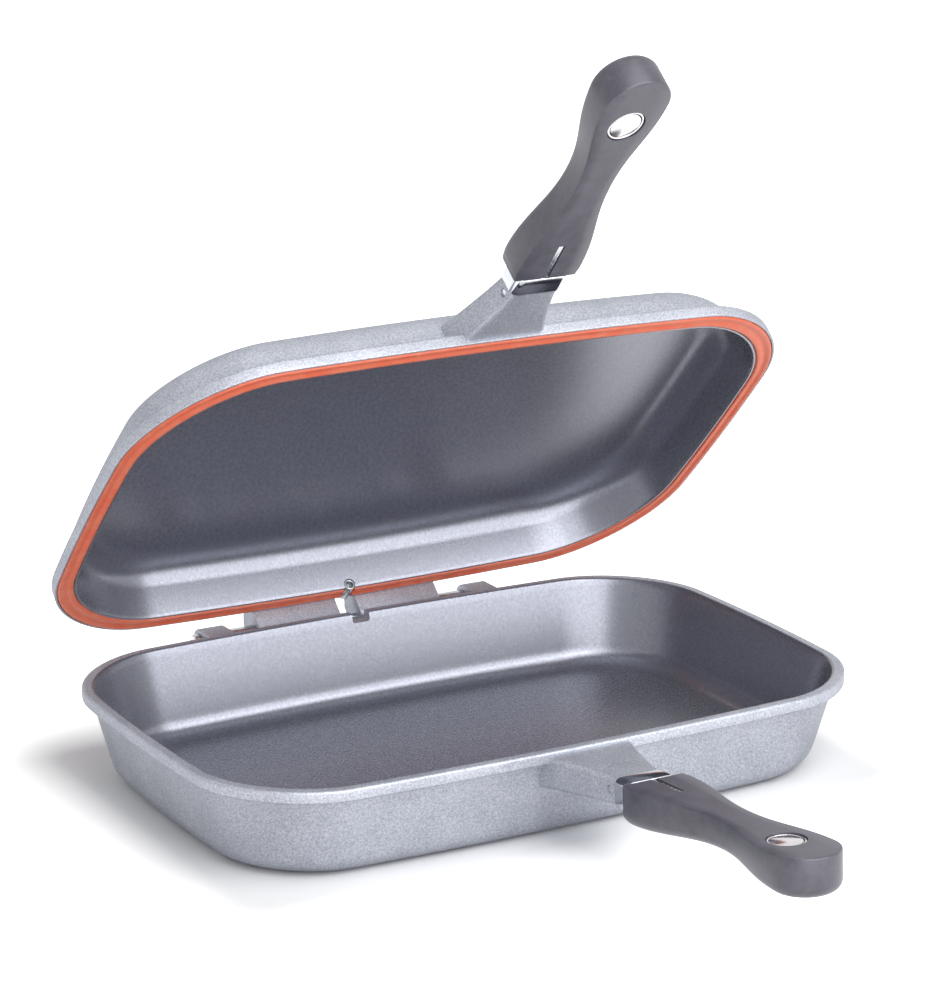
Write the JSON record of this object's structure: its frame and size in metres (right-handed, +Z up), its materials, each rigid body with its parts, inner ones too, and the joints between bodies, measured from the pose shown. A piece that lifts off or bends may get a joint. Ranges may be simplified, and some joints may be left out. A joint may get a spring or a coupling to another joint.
{
  "type": "double sided flip pan",
  "caption": "Two shallow rounded-rectangular pans hinged at the back, with a red seal between their rims and a long magnet-held grip on each.",
  "frame": {"origin": "centre of the lower pan's flat base, on the surface it stands on", "axes": "+Z up out of the lower pan, -Y from the pans towards the grips, X along the pans' long side"},
  "size_m": [0.326, 0.3965, 0.3331],
  "materials": {
    "coated_aluminium": "die-cast, sprayed silver-grey coating outside, dark non-stick coating inside",
    "stainless_steel": "bright turned steel",
    "chrome": "polished chrome",
    "nickel_plate": "bright nickel plate",
    "bakelite": "moulded dark grey phenolic, satin",
    "silicone": "moulded orange-red silicone, satin"
  },
  "bodies": {
    "lower": {"lower_pan": "coated_aluminium", "lower_flame_guard": "chrome", "lower_tang": "stainless_steel", "lower_tang_pin": "stainless_steel", "lower_grip": "bakelite", "lower_grip_screw": "stainless_steel", "lower_magnet": "nickel_plate", "lower_magnet_cup": "nickel_plate", "hinge_pin": "stainless_steel", "hinge_cap_left": "stainless_steel", "hinge_cap_right": "stainless_steel", "hinge_spacer_left": "stainless_steel", "hinge_spacer_right": "stainless_steel"},
    "upper": {"upper_pan": "coated_aluminium", "gasket": "silicone", "steam_vent_tube": "stainless_steel", "upper_flame_guard": "chrome", "upper_tang": "stainless_steel", "upper_tang_pin": "stainless_steel", "upper_grip": "bakelite", "upper_grip_screw": "stainless_steel", "upper_magnet": "nickel_plate", "upper_magnet_cup": "nickel_plate"}
  },
  "joints": [
    {"name": "pan_hinge", "type": "hinge", "parent": "lower", "child": "upper", "pos_m": [0, 0.1138, 0.036], "axis": [-1, 0, 0], "range_deg": [-46.2, 53.8]}
  ]
}
